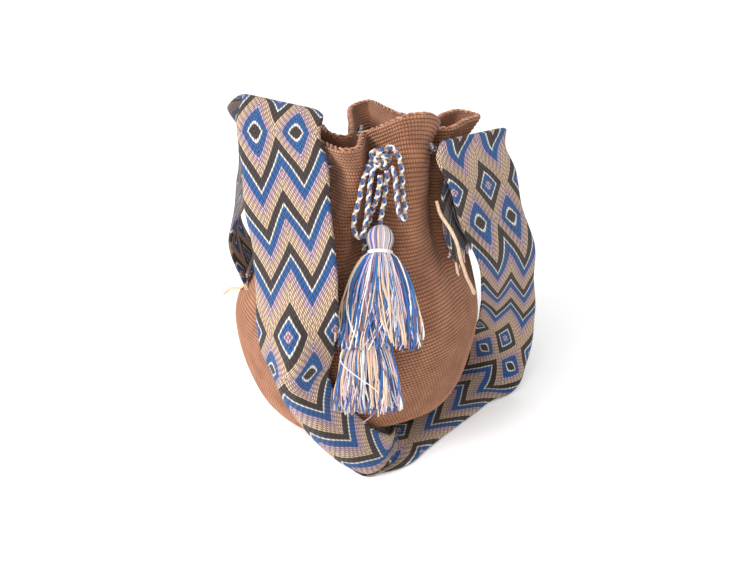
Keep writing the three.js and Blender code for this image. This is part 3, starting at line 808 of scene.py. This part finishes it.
def make_strap():
    """The band as one closed mesh, its places in the pattern given at each face's corners."""
    steps = round(STRAP_LENGTH / WEAVE_STEP)
    distances = np.linspace(0, STRAP_LENGTH, steps + 1)
    offsets = (np.arange(WEAVE_COLUMNS + 1) / WEAVE_COLUMNS - 0.5) * STRAP_WIDTH
    edge_share = np.abs(offsets) / (STRAP_WIDTH / 2)
    bulge = (STRAP_THICKNESS / 2) * np.sqrt(1 - edge_share**EDGE_SQUARENESS)
    ring_offset = np.concatenate([offsets, offsets[-2:0:-1]])
    ring_height = np.concatenate([bulge, -bulge[-2:0:-1]])
    along, across = np.meshgrid(distances, ring_offset, indexing="ij")
    points = strap_point(along, across, np.broadcast_to(ring_height, along.shape))
    around = len(ring_offset)
    faces = [face[::-1] for face in tube_faces(steps + 1, around)]
    row, column = np.meshgrid(np.arange(steps), np.arange(around), indexing="ij")
    corner_offset = np.stack([ring_offset[(column + right) % around] for _, right in CORNERS[::-1]], axis=-1)
    corner_distance = np.stack([distances[row + up] for up, _ in CORNERS[::-1]], axis=-1)
    past_turn = (distances[row] > TURN_DISTANCE)[..., None]
    v = pattern_place(corner_distance, corner_offset, past_turn)
    # The underside has its places across as values below zero
    from_edge = corner_offset + STRAP_WIDTH / 2
    u = np.where((column >= WEAVE_COLUMNS)[..., None], -from_edge, from_edge)
    uv = np.stack([u, v], axis=-1).reshape(-1, 2)
    caps = np.zeros((2 * around, 2))
    return mesh_object("strap", points.reshape(-1, 3), faces, uv=np.vstack([uv, caps]))


strap = dress(make_strap(), woven, "woven_strap", "shoulder_strap")

# Cords: a round braid of four yarns along each route

# The blue, mauve and tan yarns are darker than the strap's, the mauve most: painted shade between the
# strands
BRAID_COLOURS_AND_SHADE = [WHITE, linear(32, 84, 148), linear(112, 98, 110), linear(198, 174, 152)]
BRAID_LAY = 11
BRAID_STEP = 0.9
BRAID_REACH = 0.24 * CORD_DIAMETER
BRAID_OVER = 0.07 * CORD_DIAMETER
BRAID_YARN_RADIUS = 0.225 * CORD_DIAMETER
BRAID_FACING = [0.3, -1.0, 0.2]
TWIST_STEP = 0.8
TWIST_REACH = 0.24
TWIST_PLY_RADIUS = 0.25
TWIST_LOOSENS = 0.9
TWIST_LOOSER = 0.5
TWIST_FACING = [0.2, -1.0, 0.1]
CORD_POINTS = 60


def winding_on(route, step, lay, facing):
    """Points along a route, the angle wound up to each, and the way outward at given angles."""
    curve = Curve(route)
    share = np.linspace(0, 1, int(curve.length / step))
    middle = curve.along(share)
    tangent = unit(np.gradient(middle, axis=0))
    side = unit(np.cross(tangent, facing))
    other = np.cross(tangent, side)

    def outward(angle):
        return side * np.cos(angle)[:, None] + other * np.sin(angle)[:, None]

    return middle, share * curve.length / lay * FULL_TURN, outward


def braid(route):
    """Four yarns along a route: two wind one way and two the other, each over and under."""
    middle, winding, outward = winding_on(route, BRAID_STEP, BRAID_LAY, BRAID_FACING)
    strands = []
    for index, colour in enumerate(BRAID_COLOURS_AND_SHADE):
        turn = 1 if index % 2 == 0 else -1
        angle = turn * winding + (index // 2) * math.pi + (0 if turn > 0 else math.pi / 2)
        reach = BRAID_REACH + BRAID_OVER * turn * np.sin(2 * winding)
        strands.append((middle + outward(angle) * reach[:, None], BRAID_YARN_RADIUS, colour))
    return strands


def twist(route, diameter, colours, lay):
    """Plies twisted round each other, looser towards the far end."""
    middle, winding, outward = winding_on(route, TWIST_STEP, lay, TWIST_FACING)
    loosening = 1 + TWIST_LOOSER * smooth(TWIST_LOOSENS, 1, winding / winding[-1])
    reach = diameter * TWIST_REACH * loosening[:, None]
    strands = []
    for index, colour in enumerate(colours):
        angle = winding + index / len(colours) * FULL_TURN
        strands.append((middle + outward(angle) * reach, diameter * TWIST_PLY_RADIUS, colour))
    return strands


def braided_cord(name, node, route):
    """A braid along a whole route, as one piece."""
    return dress(strands_object(name, braid(route)), braid_yarn, "braided_cord", node)


def free_cord(name, node, route, exit_share, end_share):
    """A braided cord on a part of its route."""
    curve = Curve(route)
    path = curve.along(np.linspace(exit_share, end_share, CORD_POINTS))
    obj = braided_cord(name, node, path)


LOOP_LEFT = [
    [17, -72, 306], [12, -74, 298], [7, -76, 287], [4, -78, 272], [0, -80, 258], [-1, -82, 249],
    [1, -84, 242], [4.5, -85, 240], [7.5, -84, 245], [10, -82, 256], [12, -79, 272], [13.5, -78, 286],
    [15.8, -76.5, 297], [19, -73, 306],
]
LOOP_RIGHT = [
    [24, -73, 310], [29, -73, 317], [35, -72, 314], [39, -71, 305], [41, -72, 291], [42, -75, 276],
    [44, -79, 263], [43, -83, 256.5], [39.5, -84, 259], [37, -81, 269], [35.5, -78, 283], [34, -76, 296],
    [28, -75, 305],
]
# The tails run on inside their tassels' heads
TAIL_UPPER = [
    [22, -72, 306], [28, -74, 296], [27, -76, 284], [26, -76, 272], [24, -76, 260], [22.4, -76.4, 249.4],
    [22, -83, 239], [21.7, -95, 223],
]
TAIL_LOWER = [
    [22, -72, 306], [22, -80.5, 294], [21, -81, 283], [18, -75, 269], [15, -68, 257], [12, -68, 245],
    [9, -73, 230], [8, -81, 218], [8, -91, 208], [8.5, -104, 201], [9, -116.3, 195.3], [9, -121.7, 182],
    [9.3, -127.5, 165],
]

DRAWSTRING_RISE = 0.9
DRAWSTRING_FROM = 0.985
DRAWSTRING_TO = 0.02
DRAWSTRING_START = [17, -67, 305]
DRAWSTRING_END = [21, -66, 304]
DRAWSTRING_SWING = BAG_WALL / 2 + CORD_DIAMETER / 2 + 1.2
STEPS_TO_EYELET = 6


def drawstring_route():
    """Round the neck and back to the knot, out and in through the eyelets."""
    count = STEPS_TO_EYELET * EYELET_COUNT
    share = np.arange(count + 1) / count
    turn = DRAWSTRING_FROM - (DRAWSTRING_FROM - DRAWSTRING_TO) * share
    swing = DRAWSTRING_SWING * np.cos(share * EYELET_COUNT * FULL_TURN)
    outside = bag_surface(turn, DRAWSTRING_RISE)
    points = outside + bag_normal(turn, DRAWSTRING_RISE) * (swing - BAG_WALL / 2)[:, None]
    return np.vstack([DRAWSTRING_START, points, DRAWSTRING_END])


braided_cord("drawstring_braid", "drawstring", drawstring_route())

KNOT_ROUNDS = 2
KNOT_DIPS = 5
KNOT_POINTS = 70
KNOT_REACH = 0.52 * KNOT_RADIUS
KNOT_SWING = 0.3 * KNOT_RADIUS
KNOT_DEPTH = 0.28 * KNOT_RADIUS


def knot_route():
    """A flattened rosette: the cord goes twice round, and dips towards the middle five times."""
    share = np.linspace(0, 1, KNOT_POINTS)
    angle = share * KNOT_ROUNDS * FULL_TURN
    dip = share * KNOT_DIPS * FULL_TURN
    reach = KNOT_REACH + KNOT_SWING * np.cos(dip)
    depth = KNOT_DEPTH * np.sin(dip)
    return np.stack([reach * np.cos(angle), -depth, reach * np.sin(angle)], axis=-1) + KNOT_MIDDLE


braided_cord("knot_braid", "drawstring_knot", knot_route())

# Tassels

# Dark blue, grey and dark mauve are shaded copies of the blue, white and mauve yarns: painted shade between
# the strands
STRAND_COLOURS_AND_SHADES = [BLUE, linear(24, 62, 120), WHITE, linear(182, 176, 186), MAUVE, linear(116, 98, 116), TAN]
STRAND_SHARES = [0.23, 0.13, 0.17, 0.1, 0.08, 0.1, 0.19]
STRAND_RADIUS = 0.561
STRAND_THICKER = 0.198
HEAD_POINTS = 9
SKIRT_POINTS = 16
HEAD_SHARE = 0.96
HEAD_TOP_RADIUS = 0.5

# Strands in clumps, and how far clumps and single strands differ
CLUMP_SIZE = 2
CLUMP_TURN = 0.618034
STRAND_TURN = 0.06
CLUMP_DEEPER = 0.6
STRAND_DEEPER = 0.04
FULL_LENGTH = 1.02
CLUMP_SHORTER = 0.14
STRAND_SHORTER = 0.05
LEAST_FULLNESS = 0.55
MORE_FULLNESS = 0.3
CLUMP_DRIFT = 0.34
STRAND_DRIFT = 0.14
CURL_STARTS = 0.7
CURL_REACH = 10.9375

# A wave's depth, its pace and how much faster it may be
WAVE = (1.5, 3, 3)
KINK = (0.8, 9, 8)
LATEST_START = 6

BINDING_TURNS = 3
BINDING_POINTS = 24
BINDING_REACH = 0.45 * BINDING_DIAMETER
BINDING_YARN_RADIUS = 0.55
STRAY_POINTS = 24
STRAY_RADIUS = 0.5


def tassel_frame(shape):
    """The middle of a tassel's top, three directions from it and the radius of its neck."""
    down = unit(np.array(shape["down"], dtype=float))
    side = unit(np.array([1.0, 0, 0]) - down * down[0])
    outward = np.cross(side, down)
    top = np.array(shape["head"], dtype=float) - down * TASSEL_HEAD_LENGTH / 2
    neck = TASSEL_NECK_RADIUS * shape["head_radius"] / TASSEL_HEAD_RADIUS
    return top, down, side, outward, neck


def wobble(share, depth, pace, faster, draws):
    """A sideways wave down a strand, its pace and its start drawn at random."""
    return depth * np.sin(share * (pace + faster * draws.random()) + LATEST_START * draws.random())


def tassel_strands(shape):
    """Yarns over the round head and down in an uneven skirt, in small clumps of one colour."""
    top, down, side, outward, neck = tassel_frame(shape)
    share = np.concatenate([np.linspace(-1, 0, HEAD_POINTS)[:-1], np.linspace(0, 1, SKIRT_POINTS)])
    in_head = share < 0
    hanging = np.clip(share, 0, 1)
    head_share = np.clip(share + 1, 0, 1)
    bulge = np.sqrt(np.clip(1 - (2 * head_share - 1) ** 2, 0, 1))
    least = np.where(head_share > 0.5, neck, HEAD_TOP_RADIUS)
    head_radius = HEAD_SHARE * np.maximum(shape["head_radius"] * bulge, least)
    strands = []
    for index in range(shape["count"]):
        clump = index // CLUMP_SIZE
        clump_rng = np.random.default_rng(clump + shape["count"])
        colour = STRAND_COLOURS_AND_SHADES[clump_rng.choice(len(STRAND_COLOURS_AND_SHADES), p=STRAND_SHARES)]
        angle = FULL_TURN * clump * CLUMP_TURN + STRAND_TURN * rng.standard_normal()
        layer = 1 - CLUMP_DEEPER * clump_rng.random() ** 1.5 + STRAND_DEEPER * rng.standard_normal()
        shorter = CLUMP_SHORTER * clump_rng.random() ** 2 + STRAND_SHORTER * rng.random()
        length = shape["length"] * (FULL_LENGTH - shorter)
        fullness = LEAST_FULLNESS + MORE_FULLNESS * clump_rng.random()
        spread = np.sin(hanging * math.pi / 2) ** fullness * layer
        aside = CLUMP_DRIFT * clump_rng.standard_normal() + STRAND_DRIFT * rng.standard_normal()
        drift = angle + aside * hanging**1.5
        depth = np.where(np.sin(drift) > 0, shape["front"], shape["back"])
        wide = np.where(in_head, head_radius, neck + (shape["half_width"] - neck) * spread)
        deep = np.where(in_head, head_radius, neck + (depth - neck) * spread)
        distance = TASSEL_HEAD_LENGTH * head_share + hanging * length
        wave = wobble(share, *WAVE, clump_rng) * hanging
        kink = wobble(share, *KINK, rng) * hanging
        curl = CURL_REACH * rng.standard_normal() * np.clip(share - CURL_STARTS, 0, 1) ** 1.5
        path = top + down * distance[:, None]
        path = path + side * (wide * np.cos(drift) + wave + kink + curl)[:, None]
        path = path + outward * (deep * np.sin(drift) + (wave + kink) / 2)[:, None]
        strands.append((path, STRAND_RADIUS + STRAND_THICKER * rng.random(), colour))
    return strands


def binding_strands(shape):
    """White yarn wound round a tassel's neck."""
    top, down, side, outward, neck = tassel_frame(shape)
    angle = np.linspace(0, BINDING_TURNS * FULL_TURN, BINDING_TURNS * BINDING_POINTS)
    rise = TASSEL_HEAD_LENGTH + (angle / angle[-1] - 0.5) * BINDING_DIAMETER
    around = side * np.cos(angle)[:, None] + outward * np.sin(angle)[:, None]
    path = top + down * rise[:, None] + around * (neck + BINDING_REACH)
    return [(path, BINDING_YARN_RADIUS, WHITE)]


def stray_strands(shape):
    """Yarns that stand out from a tassel, each on its own route."""
    shares = np.linspace(0, 1, STRAY_POINTS)
    return [(Curve(route).along(shares), STRAY_RADIUS, colour) for route, colour in shape["strays"]]


UPPER = {
    "head": [22, -84, 238], "down": [-2, -62, -77], "head_radius": TASSEL_HEAD_RADIUS,
    "half_width": 37, "front": 14, "back": 4, "length": UPPER_SKIRT_LENGTH, "count": 330,
    "strays": [
        ([[28, -97, 226], [40, -108, 212], [49, -118, 196], [50, -126, 180], [45, -133, 168]], WHITE),
    ],
}
LOWER = {
    "head": [9, -121.7, 182], "down": [1, -32, -90], "head_radius": LOWER_HEAD_RADIUS,
    "half_width": 31, "front": 10, "back": 4, "length": LOWER_SKIRT_LENGTH, "count": 230,
    "strays": [
        ([[-8, -133, 165], [-14, -142, 150], [0, -150, 138], [14, -153, 128], [19, -154, 122]], WHITE),
        ([[14, -140, 120], [18, -146, 100], [13, -148, 92], [5, -149, 84]], linear(190, 166, 178)),
    ],
}

for place, shape in (("upper", UPPER), ("lower", LOWER)):
    strands = tassel_strands(shape) + stray_strands(shape)
    bundle = strands_object(f"tassel_{place}_strands", strands, sides=4)
    dress(bundle, tassel_yarn, "tassel_strands", f"tassel_{place}")
    wound = strands_object(f"tassel_{place}_wound", binding_strands(shape), sides=6)
    dress(wound, white_yarn, "white_yarn", f"tassel_{place}_binding")

# Shares of the routes at which the cords leave the knot
LOOP_EXIT = 0.04
UPPER_EXIT = 0.12
LOWER_EXIT = 0.08
free_cord("loop_left", "bow_loop_left", LOOP_LEFT, LOOP_EXIT, 1 - LOOP_EXIT)
free_cord("loop_right", "bow_loop_right", LOOP_RIGHT, LOOP_EXIT, 1 - LOOP_EXIT)
free_cord("tail_upper_braid", "tail_upper", TAIL_UPPER, UPPER_EXIT, 1.0)
free_cord("tail_lower_braid", "tail_lower", TAIL_LOWER, LOWER_EXIT, 1.0)

# The strap's ends: seams and ties

TIE_COLOURS = [TAN, linear(214, 182, 146), TAN]
TIE_LAY = 7
TIE_LEFT = [
    [-113.5, -22, 164.6], [-117, -21, 157], [-124, -16, 151], [-133, -11, 148], [-138, -7, 143],
    [-143, -3, 138],
]
TIE_RIGHT = [
    [73.8, -56.5, 262], [77, -61, 252], [86, -71, 240], [92, -77, 228], [95, -79, 216], [99, -79, 205],
    [103, -78, 194], [108, -76, 184], [112, -74, 175],
]


def free_tie(name, node, route):
    """A twisted tie on its route."""
    obj = strands_object(name, twist(route, TIE_DIAMETER, TIE_COLOURS, TIE_LAY))
    dress(obj, twisted_yarn, "tan_yarn", node)


free_tie("tie_left_twist", "tie_left", TIE_LEFT)
free_tie("tie_right_twist", "tie_right", TIE_RIGHT)

SEAM_COLOURS = [TAN, DARK, TAN, BLUE]
SEAM_LAY = 6
SEAM_INWARD = 6
SEAM_SPAN = 0.9
SEAM_POINTS = 7
FRINGE_COUNT = 34
FRINGE_LENGTH = 7.8
FRINGE_LONGER = 6.5
FRINGE_SPAN = 0.96
FRINGE_POINTS = 8
FRINGE_HEIGHT = 0.8
FRINGE_SWAY = np.array([1.5, 1.0, 0])
FRINGE_DROOP = np.array([0, 0, 0.35])
FRINGE_STRAIGHT = 0.75
FRINGE_RADIUS = 0.75
FRINGE_COLOURS = [TAN, WHITE, DARK, BLUE, MAUVE]
FRINGE_SHARES = [0.42, 0.2, 0.16, 0.12, 0.1]


def fringe(end, inward):
    """Cut yarn ends hanging from an end of the strap."""
    share = np.linspace(0, 1, FRINGE_POINTS)[:, None]
    strands = []
    for offset in np.linspace(-FRINGE_SPAN, FRINGE_SPAN, FRINGE_COUNT) * STRAP_WIDTH / 2:
        root = strap_point(end, offset, FRINGE_HEIGHT * rng.standard_normal())
        heading = unit(root - strap_point(end + inward, offset, 0.0))
        reach = FRINGE_LENGTH + FRINGE_LONGER * rng.random()
        sway = FRINGE_SWAY * rng.standard_normal(3)
        bent = (sway - FRINGE_DROOP * reach) * share**2
        colour = FRINGE_COLOURS[rng.choice(len(FRINGE_COLOURS), p=FRINGE_SHARES)]
        strands.append((root + heading * reach * share * FRINGE_STRAIGHT + bent, FRINGE_RADIUS, colour))
    return strands


for side_name, end, inward in (("left", 0.0, SEAM_INWARD), ("right", STRAP_LENGTH, -SEAM_INWARD)):
    offsets = np.linspace(-SEAM_SPAN, SEAM_SPAN, SEAM_POINTS) * STRAP_WIDTH / 2
    seam_route = strap_point(end + inward, offsets, (STRAP_THICKNESS + SEAM_DIAMETER) / 2 + GAP)
    ends = fringe(end, inward)
    plies = twist(seam_route, SEAM_DIAMETER, SEAM_COLOURS, SEAM_LAY)
    seam = strands_object(f"seam_{side_name}", plies + ends)
    dress(seam, twisted_yarn, "tan_yarn", f"strap_seam_{side_name}")

# Floor, light and camera, in metres

FLOOR_SIZE = 60
FLOOR_COLOUR = (0.96, 0.96, 0.96, 1)
FLOOR_ROUGHNESS = 0.8
WORLD_STRENGTH = 0.78
LIT_MIDDLE = Vector((0, 0, 0.16))
SUN_STRENGTH = 1.25
SUN_SPREAD = 0.9
SUN_HEADING = Vector((0.6, 0.7, -1.2))
CAMERA_PLACE = (0.005, -0.563, 0.464)
CAMERA_PITCH = 0.5115
CAMERA_YAW = 0.026
CAMERA_LENS = 28.8

bpy.ops.mesh.primitive_plane_add(size=FLOOR_SIZE)
floor = bpy.context.object
floor.name = "floor"
floor_nodes = Nodes("floor")
floor_nodes.shader.inputs["Base Color"].default_value = FLOOR_COLOUR
floor_nodes.shader.inputs["Roughness"].default_value = FLOOR_ROUGHNESS
floor.data.materials.append(floor_nodes.material)

world = bpy.data.worlds.new("soft_white")
bpy.context.scene.world = world
world.use_nodes = True
background = world.node_tree.nodes["Background"]
background.inputs["Color"].default_value = (*PALEST, 1)
background.inputs["Strength"].default_value = WORLD_STRENGTH


def add_light(name, kind, power, heading):
    """A light that shines along a heading."""
    light = add_object(name, bpy.data.lights.new(name, kind))
    light.data.energy = power
    light.rotation_euler = heading.to_track_quat("-Z", "Y").to_euler()
    return light


def area_light(name, place, size, power):
    light = add_light(name, "AREA", power, LIT_MIDDLE - Vector(place))
    light.data.size = size
    light.location = place


area_light("key", place=(-1.3, -0.8, 1.1), size=0.6, power=30)
area_light("fill", place=(1.2, -0.9, 0.9), size=1.0, power=3)
add_light("daylight", "SUN", SUN_STRENGTH, SUN_HEADING).data.angle = SUN_SPREAD

camera = add_object("camera", bpy.data.cameras.new("camera"))
camera.data.lens = CAMERA_LENS
camera.location = CAMERA_PLACE
camera.rotation_euler = (math.pi / 2 - CAMERA_PITCH, 0, -CAMERA_YAW)
scene = bpy.context.scene
scene.camera = camera
scene.view_settings.view_transform = "Standard"
